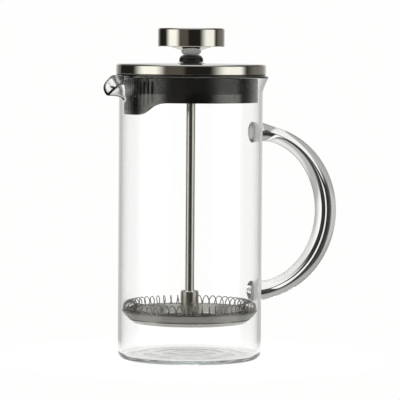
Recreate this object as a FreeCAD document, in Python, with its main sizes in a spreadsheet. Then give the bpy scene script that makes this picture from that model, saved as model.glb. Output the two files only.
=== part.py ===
"""Glass french press: a blown beaker with a fused rod handle, a steel and plastic lid, and a plunger with a
coil-edged filter. Millimetres, +Z up. The origin is the centre of the beaker's flat base, the handle is on +X
and the spout on -X."""

import FreeCAD, Part
import Sketcher
import math
import os
import re

V = FreeCAD.Vector

# Driving dimensions: heights are above the table, radii are from the beaker's axis.
DIMENSIONS = {
    # beaker
    "beaker_radius": 36.0,
    "wall_thickness": 1.6,
    "floor_thickness": 2.2,
    "floor_dome": 0.7,
    "dome_radius": 6.0,
    "foot_corner": 3.0,
    "mouth_start": 116.0,
    "flare_start": 132.6,
    "rim_centre_height": 141.2,
    "rim_centre_radius": 38.0,
    "spout_start": 128.6,
    "spout_reach": 6.7,
    "spout_dip": 8.4,
    # handle
    "handle_top": 113.3,
    "handle_bottom": 32.6,
    "handle_reach": 39.8,
    "grip_radius": 5.45,
    "grip_top_radius": 3.7,
    "grip_bottom_radius": 4.5,
    "weld_radius": 5.3,
    # lid
    "cap_radius": 37.6,
    "cap_bottom": 142.8,
    "cap_top": 147.7,
    "cap_edge": 1.0,
    "cap_sheet": 0.6,
    "cap_dome": 0.3,
    "cap_boss_radius": 6.6,
    "cap_boss_top": 148.4,
    "flange_radius": 37.3,
    "flange_bottom": 141.9,
    "web_edge_radius": 36.6,
    "web_bottom": 143.6,
    "web_top": 145.2,
    "skirt_radius": 33.5,
    "skirt_wall": 1.8,
    "skirt_bottom": 128.8,
    "apron_bottom": 122.7,
    "apron_flat": 7.0,
    "apron_end": 23.3,
    "slot_width": 1.1,
    "slot_pitch": 4.3,
    "slot_top": 139.6,
    "slot_margin": 1.9,
    "boss_radius": 7.0,
    "boss_bottom": 136.6,
    # bush
    "shank_radius": 4.0,
    "lid_bore_radius": 4.07,
    "bush_head_radius": 6.05,
    "bush_neck_radius": 3.3,
    "bush_bottom": 134.6,
    "bush_seat": 148.5,
    "bush_belly": 149.9,
    "bush_top": 152.3,
    "ring_radius": 5.4,
    "ring_bore_radius": 3.4,
    "ring_bottom": 135.6,
    "ring_top": 136.4,
    # plunger
    "rod_radius": 2.25,
    "rod_bore_radius": 2.31,
    "thread_radius": 2.0,
    "rod_bottom": 18.0,
    "rod_shoulder": 23.6,
    "rod_neck": 157.4,
    "rod_top": 162.6,
    "collar_radius": 5.0,
    "collar_foot_radius": 2.9,
    "collar_bottom": 152.4,
    "knob_radius": 16.7,
    "knob_bottom": 156.5,
    "knob_top": 165.7,
    "knob_edge": 0.9,
    "knob_sheet": 0.8,
    "cone_radius": 10.5,
    "cone_foot_radius": 5.0,
    "cone_bottom": 154.7,
    "insert_radius": 3.4,
    # filter
    "hub_radius": 4.55,
    "hub_top": 34.2,
    "hub_edge": 1.0,
    "washer_radius": 6.5,
    "washer_top": 21.8,
    "plate_top": 21.0,
    "plate_radius": 27.2,
    "plate_rim_height": 24.8,
    "plate_flat_radius": 24.0,
    "screen_bottom": 20.0,
    "screen_top": 20.3,
    "screen_flat_radius": 30.4,
    "screen_radius": 34.05,
    "screen_rim_height": 24.8,
    "coil_ring_radius": 30.5,
    "coil_height": 26.0,
    "coil_radius": 2.8,
    "wire_radius": 0.27,
    "coil_turns": 52,
    "cross_bottom": 18.2,
    "cross_sheet": 0.6,
    "cross_radius": 30.4,
    "cross_flat_radius": 28.0,
    "cross_boss_radius": 8.0,
    "cross_hole_ring": 18.0,
    "cross_hole_radius": 5.2,
    "plate_hole_ring": 15.5,
    "plate_hole_radius": 3.4,
    "nut_flats": 8.0,
    "nut_bottom": 18.3,
}

doc = FreeCAD.newDocument("french_press")
sheet = doc.addObject("Spreadsheet::Sheet", "dims")
for line, (alias, value) in enumerate(DIMENSIONS.items(), 1):
    sheet.set(f"A{line}", alias)
    sheet.set(f"B{line}", str(value))
    sheet.setAlias(f"B{line}", alias)
doc.recompute()


def bound(expression):
    """The expression with each driving dimension's name pointing at its cell in the sheet."""
    return re.sub(r"[a-z_]{4,}", lambda m: "dims." + m.group(0), expression)


def size(expression):
    """The expression's value in millimetres, read from the sheet."""
    result = sheet.evalExpression(bound(str(expression)))
    return float(getattr(result, "Value", result))


def origin_feature(body, role):
    """The body's own origin plane or axis with that role."""
    return next(f for f in body.Origin.OriginFeatures if f.Role == role)


def new_sketch(body, name, plane):
    """An empty sketch on one of the body's origin planes."""
    sketch = body.newObject("Sketcher::SketchObject", name)
    sketch.AttachmentSupport = [(origin_feature(body, plane), "")]
    sketch.MapMode = "FlatFace"
    return sketch


def pin_coordinate(sketch, edge, end, kind, expression):
    """Ties one coordinate of a sketch point to the sheet. kind is DistanceX or DistanceY."""
    value = size(expression)
    if abs(value) < 1e-9:
        axis = -2 if kind == "DistanceX" else -1
        sketch.addConstraint(Sketcher.Constraint("PointOnObject", edge, end, axis))
        return
    ends = (-1, 1, edge, end) if value > 0 else (edge, end, -1, 1)
    number = sketch.addConstraint(Sketcher.Constraint(kind, *ends, abs(value)))
    formula = bound(expression) if value > 0 else f"-({bound(expression)})"
    sketch.setExpression(f"Constraints[{number}]", formula)


def arc_edge(start, end, radius):
    """The arc under half a turn from start to end: its centre is on the left if radius is positive."""
    chord = end - start
    left = V(-chord.y, chord.x, 0).normalize()
    rise = math.sqrt(radius**2 - (chord.Length / 2) ** 2)
    centre = (start + end) / 2 + left * math.copysign(rise, radius)
    first, last = (start, end) if radius > 0 else (end, start)
    angles = [math.atan2((p - centre).y, (p - centre).x) for p in (first, last)]
    if angles[1] < angles[0]:
        angles[1] += 2 * math.pi
    return Part.ArcOfCircle(Part.Circle(centre, V(0, 0, 1), abs(radius)), *angles)


def draw_outline(sketch, outline):
    """Draws a closed outline of (across, up) or (across, up, radius) corners, each a formula of the sheet's
    cells. A corner with a radius is reached by an arc from the one before it."""
    corners = [V(size(c[0]), size(c[1]), 0) for c in outline]
    begins, finishes = [], []
    for i, corner in enumerate(outline):
        start, end = corners[i - 1], corners[i]
        if len(corner) == 3:
            radius = size(corner[2])
            edge = sketch.addGeometry(arc_edge(start, end, radius), False)
            begins.append((edge, 1 if radius > 0 else 2))
            finishes.append((edge, 2 if radius > 0 else 1))
        else:
            edge = sketch.addGeometry(Part.LineSegment(start, end), False)
            begins.append((edge, 1))
            finishes.append((edge, 2))
    for i, corner in enumerate(outline):
        following = begins[(i + 1) % len(outline)]
        sketch.addConstraint(Sketcher.Constraint("Coincident", *finishes[i], *following))
        pin_coordinate(sketch, *finishes[i], "DistanceX", corner[0])
        pin_coordinate(sketch, *finishes[i], "DistanceY", corner[1])
        if len(corner) == 3:
            number = sketch.addConstraint(Sketcher.Constraint("Radius", i, abs(size(corner[2]))))
            sketch.setExpression(f"Constraints[{number}]", bound(corner[2].lstrip("-")))


def turned_body(name, outline):
    """A body turned about the Z axis from an outline of (radius, height) corners."""
    body = doc.addObject("PartDesign::Body", name)
    sketch = new_sketch(body, name + "_outline", "XZ_Plane")
    draw_outline(sketch, outline)
    turn = body.newObject("PartDesign::Revolution", name + "_turn")
    turn.Profile = sketch
    turn.ReferenceAxis = (sketch, ["V_Axis"])
    turn.Angle = 360
    sketch.Visibility = False
    doc.recompute()
    return body


def cut_pattern(body, name, sketch, length, count, angle=360.0):
    """Pockets the sketch through the body and repeats the cut round the Z axis."""
    before = body.Shape.Volume
    pocket = body.newObject("PartDesign::Pocket", name)
    pocket.Profile = sketch
    pocket.Length = length
    pocket.Midplane = True
    doc.recompute()
    if count > 1:
        pattern = body.newObject("PartDesign::PolarPattern", name + "_ring")
        pattern.Originals = [pocket]
        pattern.Axis = (origin_feature(body, "Z_Axis"), [""])
        pattern.Angle = angle
        pattern.Occurrences = count
        body.Tip = pattern
        doc.recompute()
    if body.Shape.Volume > before - 0.01:
        raise RuntimeError(f"{name} cuts nothing")


def hole_ring(body, name, ring_radius, hole_radius, count, depth):
    """A ring of round holes through a plate that lies across the Z axis."""
    sketch = new_sketch(body, name + "_hole", "XY_Plane")
    centre = V(size(ring_radius), 0, 0)
    sketch.addGeometry(Part.Circle(centre, V(0, 0, 1), size(hole_radius)), False)
    pin_coordinate(sketch, 0, 3, "DistanceX", ring_radius)
    sketch.addConstraint(Sketcher.Constraint("PointOnObject", 0, 3, -1))
    number = sketch.addConstraint(Sketcher.Constraint("Radius", 0, size(hole_radius)))
    sketch.setExpression(f"Constraints[{number}]", bound(hole_radius))
    cut_pattern(body, name, sketch, depth, count)


# Beaker: a turned vessel, and a mouth whose flare is pulled out and down into the spout.


def mouth_profile(angle):
    """The middle of the wall at that angle from the spout: a Bezier curve from the straight wall, which it
    leaves upwards, to the lip. The flare leans out gently. The spout bends sharply and runs out level."""
    swell = math.exp(-((angle / math.radians(15)) ** 2))
    pull = math.exp(-(abs(angle / math.radians(19)) ** 3.5))
    rounding = math.radians(2.5)
    slope = 1 - (math.hypot(angle, rounding) - rounding) / math.radians(19)
    drop = (slope + math.hypot(slope, 0.07)) / 2
    wall = size("beaker_radius - wall_thickness / 2")
    foot = V(wall, size("flare_start") + size("spout_start - flare_start") * swell, 0)
    lip = V(
        size("rim_centre_radius") + size("spout_reach") * pull,
        size("rim_centre_height") - size("spout_dip") * drop,
        0,
    )
    lean = math.radians(66 * (1 - swell))
    span = (lip - foot).Length
    rise = V(0, 0.34 * span, 0)
    run = V(math.cos(lean), math.sin(lean), 0) * (0.35 + 0.14 * swell) * span
    curve = Part.BezierCurve()
    curve.setPoles([foot, foot + rise, lip - run, lip])
    return curve


def mouth_rows(columns):
    """The middle of the wall from the mouth's start to the lip, as rows of points at those angles."""
    start = size("mouth_start")
    straight = [0.0, 0.34, 0.68, 0.9]
    curved = [0.0, 0.14, 0.28, 0.42, 0.56, 0.7, 0.85, 1.0]
    rows = [[] for _ in straight + curved]
    for angle in columns:
        curve = mouth_profile(angle)
        foot = curve.value(0)
        flat = [V(foot.x, start + (foot.y - start) * share, 0) for share in straight]
        # The spout points along -X.
        outwards = V(-math.cos(angle), math.sin(angle), 0)
        for row, p in zip(rows, flat + [curve.value(share) for share in curved]):
            row.append(outwards * p.x + V(0, 0, p.y))
    return rows


def normals(rows):
    """The outward direction square to the surface at each point of the closed rows."""
    result = []
    for i, row in enumerate(rows):
        above, below = rows[min(i + 1, len(rows) - 1)], rows[max(i - 1, 0)]
        turns = [row[(j + 1) % len(row)] - row[j - 1] for j in range(len(row))]
        result.append([(a - b).cross(turn).normalize() for a, b, turn in zip(above, below, turns)])
    return result


def closed_surface(rows):
    """A smooth face shaped by rows of points round the Z axis: a cubic surface that is periodic round the
    axis. Dividing the radii by (2 + cos d) / 3 puts a ring of poles d apart back on its own radius."""
    count, levels = len(rows[0]), len(rows)
    shrink = (2 + math.cos(2 * math.pi / count)) / 3
    poles = [[V(p.x / shrink, p.y / shrink, p.z) for p in row] for row in rows]
    inner_knots = levels - 4
    surface = Part.BSplineSurface()
    surface.buildFromPolesMultsKnots(
        poles,
        [4] + [1] * inner_knots + [4],
        [1] * (count + 1),
        list(range(inner_knots + 2)),
        list(range(count + 1)),
        False,
        True,
        3,
        3,
    )
    return surface.toShape()


def make_beaker():
    half = size("wall_thickness / 2")
    middle = mouth_rows([math.radians(3.0 * i - 183) for i in range(120)])
    away = normals(middle)
    outside = [[p + n * half for p, n in zip(*pair)] for pair in zip(middle, away)]
    inside = [[p - n * half for p, n in zip(*pair)] for pair in zip(middle, away)]
    crown = []
    for step in range(7):
        turn = math.pi * step / 6
        ring = []
        for p, q, n in zip(middle[-2], middle[-1], away[-1]):
            along = q - p
            along = (along - n * along.dot(n)).normalize()
            ring.append(q + (n * math.cos(turn) + along * math.sin(turn)) * half)
        crown.append(ring)
    faces = [closed_surface(rows) for rows in (outside, crown, inside)]
    wall, thick, corner = size("beaker_radius"), size("wall_thickness"), size("foot_corner")
    floor, crest = size("floor_thickness"), size("floor_thickness + floor_dome")
    inner, join, bend = wall - thick, size("mouth_start"), corner - thick
    cos45 = math.sqrt(0.5)

    def arc(start, through, end):
        return Part.Arc(V(start[0], 0, start[1]), V(through[0], 0, through[1]), V(end[0], 0, end[1]))

    def line(start, end):
        return Part.LineSegment(V(start[0], 0, start[1]), V(end[0], 0, end[1]))

    outline = [
        line((0, 0), (wall - corner, 0)),
        arc(
            (wall - corner, 0),
            (wall - corner * (1 - cos45), corner * (1 - cos45)),
            (wall, corner),
        ),
        line((wall, corner), (wall, join)),
        line((inner, join), (inner, floor + bend)),
        arc(
            (inner, floor + bend),
            (inner - bend * (1 - cos45), floor + bend * (1 - cos45)),
            (inner - bend, floor),
        ),
        line((inner - bend, floor), (size("dome_radius"), crest)),
        line((size("dome_radius"), crest), (0, crest)),
    ]
    for piece in outline:
        faces += piece.toShape().revolve(V(0, 0, 0), V(0, 0, 1), 360).Faces
    skin = Part.Compound(faces)
    skin.sewShape(1e-2)
    solid = Part.Solid(skin.Shells[0] if skin.Shells else skin)
    if solid.Volume < 0:
        solid.reverse()
    beaker = doc.addObject("Part::Feature", "beaker")
    beaker.Shape = solid
    return beaker


# Handle: round sections lofted along half an ellipse, flared at both welds and trimmed to the wall.


def make_handle():
    centre = size("(handle_top + handle_bottom) / 2")
    height = size("(handle_top - handle_bottom) / 2")
    reach, grip = size("handle_reach"), size("grip_radius")
    wall = size("beaker_radius")
    sections = []
    for step in range(25):
        turn = math.pi * step / 24
        end = size("grip_top_radius") if step < 12 else size("grip_bottom_radius")
        weld = size("weld_radius") - end
        radius = end + (grip - end) * math.sin(turn) ** 2 + weld * math.exp(-((min(step, 24 - step) / 1.3) ** 2))
        place = V(wall - 0.4 + (reach + 0.4) * math.sin(turn), 0, centre + height * math.cos(turn))
        along = V(reach * math.cos(turn), 0, -height * math.sin(turn))
        sections.append(Part.Wire(Part.makeCircle(radius, place, along)))
    grip_bar = Part.makeLoft(sections, True)
    wall_core = Part.makeCylinder(wall, size("rim_centre_height"))
    handle = doc.addObject("Part::Feature", "handle")
    handle.Shape = grip_bar.cut(wall_core)
    return handle


# Lid: a drawn steel cap over a moulded liner, both carried by the bush that guides the rod.


def make_lid_cap():
    return turned_body(
        "lid_cap",
        [
            ("cap_radius", "cap_bottom"),
            ("cap_radius", "cap_top - cap_edge"),
            ("cap_radius - cap_edge", "cap_top", "cap_edge"),
            ("cap_boss_radius + 1", "cap_top + cap_dome"),
            ("cap_boss_radius", "cap_boss_top"),
            ("lid_bore_radius", "cap_boss_top"),
            ("lid_bore_radius", "cap_boss_top - cap_sheet"),
            ("cap_boss_radius - 0.2", "cap_boss_top - cap_sheet"),
            ("cap_boss_radius + 0.8", "cap_top + cap_dome - cap_sheet"),
            ("cap_radius - cap_sheet - 0.6", "cap_top - cap_sheet"),
            ("cap_radius - cap_sheet", "cap_top - cap_sheet - 0.6"),
            ("cap_radius - cap_sheet", "cap_bottom"),
        ],
    )


def add_box(sketch, left, right, low, high):
    """Draws a closed box between those coordinates, each a formula of the sheet's cells."""
    first = sketch.GeometryCount
    corners = [(left, low), (right, low), (right, high), (left, high)]
    points = [V(size(x), size(y), 0) for x, y in corners]
    for i in range(4):
        sketch.addGeometry(Part.LineSegment(points[i], points[(i + 1) % 4]), False)
    for i in range(4):
        sketch.addConstraint(Sketcher.Constraint("Coincident", first + i, 2, first + (i + 1) % 4, 1))
        kind = "Horizontal" if i % 2 == 0 else "Vertical"
        sketch.addConstraint(Sketcher.Constraint(kind, first + i))
    pin_coordinate(sketch, first, 1, "DistanceX", left)
    pin_coordinate(sketch, first, 1, "DistanceY", low)
    pin_coordinate(sketch, first + 2, 1, "DistanceX", right)
    pin_coordinate(sketch, first + 2, 1, "DistanceY", high)


def side_cut(body, name, sketch, length, towards_spout):
    """Pockets the sketch from the YZ plane out through one side of the body."""
    before = body.Shape.Volume
    pocket = body.newObject("PartDesign::Pocket", name)
    pocket.Profile = sketch
    pocket.Length = length
    pocket.Reversed = not towards_spout
    doc.recompute()
    if body.Shape.Volume > before - 0.01:
        raise RuntimeError(f"{name} cuts nothing")


def make_lid_liner():
    """The liner's skirt is turned down to the apron's depth, then trimmed so that it only stays deep at the
    spout, and slotted there as a strainer. The slots are parallel, as a sliding core leaves them."""
    body = turned_body(
        "lid_liner",
        [
            ("flange_radius", "flange_bottom"),
            ("flange_radius", "cap_bottom"),
            ("web_edge_radius", "cap_bottom"),
            ("web_edge_radius", "web_top"),
            ("lid_bore_radius", "web_top"),
            ("lid_bore_radius", "boss_bottom"),
            ("boss_radius", "boss_bottom"),
            ("boss_radius", "web_bottom"),
            ("skirt_radius - skirt_wall", "web_bottom"),
            ("skirt_radius - skirt_wall", "apron_bottom"),
            ("skirt_radius", "apron_bottom"),
            ("skirt_radius", "flange_bottom"),
        ],
    )
    back = new_sketch(body, "skirt_back", "YZ_Plane")
    add_box(back, "-skirt_radius - 2", "skirt_radius + 2", "apron_bottom - 2", "skirt_bottom")
    side_cut(body, "skirt_back_cut", back, 50, False)
    depth = "(skirt_bottom - apron_bottom)"
    width = "(apron_end - apron_flat)"
    bend = f"(({width} / 2)^2 + ({depth} / 2)^2) / {depth}"
    half = ("(apron_end + apron_flat) / 2", "(skirt_bottom + apron_bottom) / 2")
    front = new_sketch(body, "skirt_front", "YZ_Plane")
    draw_outline(
        front,
        [
            ("-skirt_radius - 2", "apron_bottom - 2"),
            ("skirt_radius + 2", "apron_bottom - 2"),
            ("skirt_radius + 2", "skirt_bottom"),
            ("apron_end", "skirt_bottom"),
            (half[0], half[1], bend),
            ("apron_flat", "apron_bottom", "-" + bend),
            ("-apron_flat", "apron_bottom"),
            ("-" + half[0], half[1], "-" + bend),
            ("-apron_end", "skirt_bottom", bend),
            ("-skirt_radius - 2", "skirt_bottom"),
        ],
    )
    side_cut(body, "skirt_front_cut", front, 50, True)
    slots = new_sketch(body, "strainer_slots", "YZ_Plane")
    for half_pitches in range(1, 16, 2):
        middle = f"skirt_radius * sin(slot_pitch * {half_pitches} / 2 * 1deg)"
        rise = "slot_margin"
        if size(f"{middle} - apron_flat") > 0:
            rise += f" + {depth} * sin(90deg * ({middle} - apron_flat) / {width})^2"
        low = f"apron_bottom + {rise}"
        add_box(slots, f"{middle} - slot_width / 2", f"{middle} + slot_width / 2", low, "slot_top")
        add_box(slots, f"-({middle}) - slot_width / 2", f"-({middle}) + slot_width / 2", low, "slot_top")
    side_cut(body, "strainer_cut", slots, 50, True)
    return body


def make_guide_bush():
    return turned_body(
        "guide_bush",
        [
            ("rod_bore_radius", "bush_bottom"),
            ("shank_radius - 0.4", "bush_bottom"),
            ("shank_radius", "bush_bottom + 0.4"),
            ("shank_radius", "ring_bottom"),
            ("ring_bore_radius", "ring_bottom"),
            ("ring_bore_radius", "ring_top"),
            ("shank_radius", "ring_top"),
            ("shank_radius", "bush_seat"),
            ("bush_head_radius - (bush_belly - bush_seat)", "bush_seat"),
            ("bush_head_radius", "bush_belly", "bush_belly - bush_seat"),
            ("bush_neck_radius", "bush_top", "2.45"),
            ("rod_bore_radius", "bush_top"),
        ],
    )


def make_bush_ring():
    """A flat retaining ring with a gap, pressed into the bush's groove."""
    body = turned_body(
        "bush_retaining_ring",
        [
            ("ring_bore_radius", "ring_bottom"),
            ("ring_radius", "ring_bottom"),
            ("ring_radius", "ring_top"),
            ("ring_bore_radius", "ring_top"),
        ],
    )
    gap = new_sketch(body, "ring_gap", "YZ_Plane")
    add_box(gap, "-1.1", "1.1", "ring_bottom - 1", "ring_top + 1")
    side_cut(body, "ring_gap_cut", gap, 10, True)
    return body


# Plunger: the rod, the knob on its top and the filter on its foot.


def make_plunger_rod():
    """The rod, with rolled threads at both ends drawn as their plain minor cylinders."""
    return turned_body(
        "plunger_rod",
        [
            ("0", "rod_bottom"),
            ("thread_radius - 0.3", "rod_bottom"),
            ("thread_radius", "rod_bottom + 0.3"),
            ("thread_radius", "rod_shoulder"),
            ("rod_radius", "rod_shoulder"),
            ("rod_radius", "rod_neck"),
            ("thread_radius", "rod_neck"),
            ("thread_radius", "rod_top - 0.3"),
            ("thread_radius - 0.3", "rod_top"),
            ("0", "rod_top"),
        ],
    )


def make_knob_collar():
    return turned_body(
        "knob_collar",
        [
            ("rod_radius", "collar_bottom"),
            ("collar_foot_radius", "collar_bottom"),
            ("collar_radius", "collar_bottom + 1.9", "2.05"),
            ("collar_radius", "cone_bottom"),
            ("rod_radius", "cone_bottom"),
        ],
    )


def make_knob_base():
    """The dished plate that closes the knob's underside and comes down as a cone to the collar."""
    return turned_body(
        "knob_base_plate",
        [
            ("rod_radius", "cone_bottom"),
            ("cone_foot_radius", "cone_bottom"),
            ("cone_radius", "knob_bottom"),
            ("knob_radius - knob_sheet", "knob_bottom"),
            ("knob_radius - knob_sheet", "knob_bottom + knob_sheet"),
            ("cone_radius - 0.3", "knob_bottom + knob_sheet"),
            ("cone_foot_radius", "cone_bottom + knob_sheet"),
            ("rod_radius", "cone_bottom + knob_sheet"),
        ],
    )


def make_knob_shell():
    return turned_body(
        "knob_shell",
        [
            ("knob_radius", "knob_bottom"),
            ("knob_radius", "knob_top - knob_edge"),
            ("knob_radius - knob_edge", "knob_top", "knob_edge"),
            ("0", "knob_top"),
            ("0", "knob_top - knob_sheet"),
            ("knob_radius - knob_sheet - 0.2", "knob_top - knob_sheet"),
            ("knob_radius - knob_sheet", "knob_top - knob_sheet - 0.2"),
            ("knob_radius - knob_sheet", "knob_bottom"),
        ],
    )


def make_knob_core():
    """The moulded plug that fills the knob and holds the threaded insert."""
    return turned_body(
        "knob_core",
        [
            ("insert_radius", "rod_neck"),
            ("knob_radius - knob_sheet - 0.2", "rod_neck"),
            ("knob_radius - knob_sheet - 0.2", "knob_top - knob_sheet"),
            ("0", "knob_top - knob_sheet"),
            ("0", "rod_top + 0.6"),
            ("insert_radius", "rod_top + 0.6"),
        ],
    )


def make_knob_insert():
    return turned_body(
        "knob_insert",
        [
            ("thread_radius", "rod_neck"),
            ("insert_radius", "rod_neck"),
            ("insert_radius", "rod_top + 0.6"),
            ("thread_radius", "rod_top + 0.6"),
        ],
    )


def make_filter_hub():
    return turned_body(
        "filter_hub",
        [
            ("thread_radius", "washer_top"),
            ("hub_radius", "washer_top"),
            ("hub_radius", "hub_top - hub_edge"),
            ("hub_radius - hub_edge", "hub_top", "hub_edge"),
            ("rod_radius", "hub_top"),
            ("rod_radius", "rod_shoulder"),
            ("thread_radius", "rod_shoulder"),
        ],
    )


def make_hub_washer():
    return turned_body(
        "hub_washer",
        [
            ("thread_radius", "plate_top"),
            ("washer_radius", "plate_top"),
            ("washer_radius", "washer_top"),
            ("thread_radius", "washer_top"),
        ],
    )


def make_spiral_plate():
    """The pierced plate over the screen. Its raised edge carries the coil spring."""
    body = turned_body(
        "spiral_plate",
        [
            ("thread_radius", "screen_top"),
            ("plate_flat_radius", "screen_top"),
            ("plate_radius", "plate_rim_height"),
            ("plate_radius - 0.7", "plate_rim_height"),
            ("plate_flat_radius - 0.4", "plate_top"),
            ("thread_radius", "plate_top"),
        ],
    )
    hole_ring(body, "plate_holes", "plate_hole_ring", "plate_hole_radius", 12, 60)
    return body


def make_filter_mesh():
    """The woven screen, drawn as one thin dish: the weave is far finer than its outline."""
    return turned_body(
        "filter_mesh",
        [
            ("thread_radius", "screen_bottom"),
            ("screen_flat_radius", "screen_bottom"),
            ("screen_radius", "screen_rim_height - 0.1"),
            ("screen_radius - 0.25", "screen_rim_height"),
            ("screen_flat_radius - 0.15", "screen_top"),
            ("thread_radius", "screen_top"),
        ],
    )


def make_cross_plate():
    """The stiff pan under the screen, with a raised centre and a ring of holes."""
    body = turned_body(
        "cross_plate",
        [
            ("thread_radius", "screen_bottom - cross_sheet"),
            ("cross_boss_radius - 1.4", "screen_bottom - cross_sheet"),
            ("cross_boss_radius", "cross_bottom"),
            ("cross_flat_radius", "cross_bottom"),
            ("cross_radius", "screen_bottom"),
            ("cross_radius - 0.7", "screen_bottom"),
            ("cross_flat_radius - 0.4", "cross_bottom + cross_sheet"),
            ("cross_boss_radius + 0.2", "cross_bottom + cross_sheet"),
            ("cross_boss_radius - 1.2", "screen_bottom"),
            ("thread_radius", "screen_bottom"),
        ],
    )
    hole_ring(body, "cross_holes", "cross_hole_ring", "cross_hole_radius", 8, 60)
    return body


def make_cross_nut():
    """A thin hexagonal nut that sits up inside the cross plate's raised centre."""
    body = doc.addObject("PartDesign::Body", "cross_plate_nut")
    sketch = new_sketch(body, "nut_outline", "XY_Plane")
    radius = size("nut_flats") / math.sqrt(3)
    points = [V(radius, 0, 0)]
    for i in range(1, 6):
        points.append(V(radius * math.cos(i * math.pi / 3), radius * math.sin(i * math.pi / 3), 0))
    rim = sketch.addGeometry(Part.Circle(V(0, 0, 0), V(0, 0, 1), radius), True)
    number = sketch.addConstraint(Sketcher.Constraint("Radius", rim, radius))
    sketch.setExpression(f"Constraints[{number}]", bound("nut_flats / 3^0.5"))
    sketch.addConstraint(Sketcher.Constraint("Coincident", rim, 3, -1, 1))
    for i in range(6):
        sketch.addGeometry(Part.LineSegment(points[i], points[(i + 1) % 6]), False)
    for i in range(6):
        sketch.addConstraint(Sketcher.Constraint("Coincident", i + 1, 2, (i + 1) % 6 + 1, 1))
        sketch.addConstraint(Sketcher.Constraint("PointOnObject", i + 1, 1, rim))
        if i:
            sketch.addConstraint(Sketcher.Constraint("Equal", 1, i + 1))
    sketch.addConstraint(Sketcher.Constraint("PointOnObject", 1, 1, -1))
    pad = body.newObject("PartDesign::Pad", "nut_pad")
    pad.Profile = sketch
    pad.setExpression("Length", bound("screen_bottom - cross_sheet - nut_bottom"))
    sketch.setExpression("AttachmentOffset.Base.z", bound("nut_bottom"))
    doc.recompute()
    bore = new_sketch(body, "nut_bore", "XY_Plane")
    bore.addGeometry(Part.Circle(V(0, 0, 0), V(0, 0, 1), size("thread_radius")), False)
    bore.addConstraint(Sketcher.Constraint("Coincident", 0, 3, -1, 1))
    number = bore.addConstraint(Sketcher.Constraint("Radius", 0, size("thread_radius")))
    bore.setExpression(f"Constraints[{number}]", bound("thread_radius"))
    cut_pattern(body, "nut_bore_cut", bore, 60, 1)
    return body


def make_filter_spring():
    """The coil spring, a wire wound round a ring: its surface is swept from points of the wire's skin."""
    turns, around, per_turn = int(size("coil_turns")), 8, 12
    ring, coil, wire = size("coil_ring_radius"), size("coil_radius"), size("wire_radius")
    count = turns * per_turn

    def centre(step):
        lead = 2 * math.pi * step / count
        wind = 2 * math.pi * step / per_turn
        out = ring + coil * math.cos(wind)
        return V(out * math.cos(lead), out * math.sin(lead), size("coil_height") + coil * math.sin(wind))

    rows = [[] for _ in range(around)]
    for step in range(count):
        lead = 2 * math.pi * step / count
        wind = 2 * math.pi * step / per_turn
        along = (centre(step + 0.01) - centre(step - 0.01)).normalize()
        away = V(math.cos(wind) * math.cos(lead), math.cos(wind) * math.sin(lead), math.sin(wind))
        away = (away - along * away.dot(along)).normalize()
        side = along.cross(away)
        for i, row in enumerate(rows):
            turn = 2 * math.pi * i / around
            row.append(centre(step) + (away * math.cos(turn) + side * math.sin(turn)) * wire)
    surface = Part.BSplineSurface()
    surface.buildFromPolesMultsKnots(
        rows, [1] * (around + 1), [1] * (count + 1), list(range(around + 1)), list(range(count + 1)), True, True, 3, 3
    )
    spring = doc.addObject("Part::Feature", "filter_spring")
    spring.Shape = Part.Solid(Part.Shell([surface.toShape()]))
    return spring


MAKERS = [
    make_beaker,
    make_handle,
    make_lid_cap,
    make_lid_liner,
    make_guide_bush,
    make_bush_ring,
    make_plunger_rod,
    make_knob_shell,
    make_knob_base,
    make_knob_core,
    make_knob_insert,
    make_knob_collar,
    make_filter_hub,
    make_hub_washer,
    make_spiral_plate,
    make_filter_spring,
    make_filter_mesh,
    make_cross_plate,
    make_cross_nut,
]

parts = [maker() for maker in MAKERS]
doc.recompute()
for item in doc.Objects:
    if {"Invalid", "Error"} & set(item.State):
        raise RuntimeError(f"{item.Label}: {item.State}")
os.makedirs("parts", exist_ok=True)
for item in parts:
    if item.Shape.isNull() or not item.Shape.isValid():
        raise RuntimeError(f"{item.Label} has no valid shape")
    item.Shape.exportStep(f"parts/{item.Label}.step")
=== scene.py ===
"""The looks of a glass french press: blown glass, mirror steel, moulded plastic, a wound coil and a woven
screen."""

import math

import bpy
import numpy as np
from mathutils import Matrix, Vector


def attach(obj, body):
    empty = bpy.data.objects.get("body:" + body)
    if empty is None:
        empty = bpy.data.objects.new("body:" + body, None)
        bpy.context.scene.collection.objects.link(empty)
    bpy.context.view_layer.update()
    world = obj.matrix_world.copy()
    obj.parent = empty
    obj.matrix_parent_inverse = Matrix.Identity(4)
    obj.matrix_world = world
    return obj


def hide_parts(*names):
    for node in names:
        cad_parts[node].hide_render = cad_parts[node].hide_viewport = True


bl_info = {
    "name": "Glass French Press",
    "version": (1, 0, 0),
    "blender": (4, 5, 0),
    "location": "3D View > Sidebar > French Press",
    "description": "Builds a glass french press with its lid, plunger and coil-edged filter",
    "category": "Add Mesh",
}

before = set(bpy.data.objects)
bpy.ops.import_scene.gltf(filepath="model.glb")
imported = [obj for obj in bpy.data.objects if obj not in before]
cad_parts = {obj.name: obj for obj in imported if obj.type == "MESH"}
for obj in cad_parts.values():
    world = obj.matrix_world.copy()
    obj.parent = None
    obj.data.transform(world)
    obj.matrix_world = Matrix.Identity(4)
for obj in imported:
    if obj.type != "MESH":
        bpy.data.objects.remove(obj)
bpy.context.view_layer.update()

TAU = 2 * math.pi


# ---------------------------------------------------------------- sizes and colours


def length(name, description, value):
    """A length property in metres."""
    return bpy.props.FloatProperty(
        name=name, description=description, default=value, unit="LENGTH", subtype="DISTANCE", precision=5
    )


def number(name, description, value):
    """A plain number property."""
    return bpy.props.FloatProperty(name=name, description=description, default=value, precision=4)


def colour(name, description, value):
    """A colour property."""
    return bpy.props.FloatVectorProperty(
        name=name, description=description, default=value, size=3, min=0.0, max=1.0, subtype="COLOR"
    )


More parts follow.
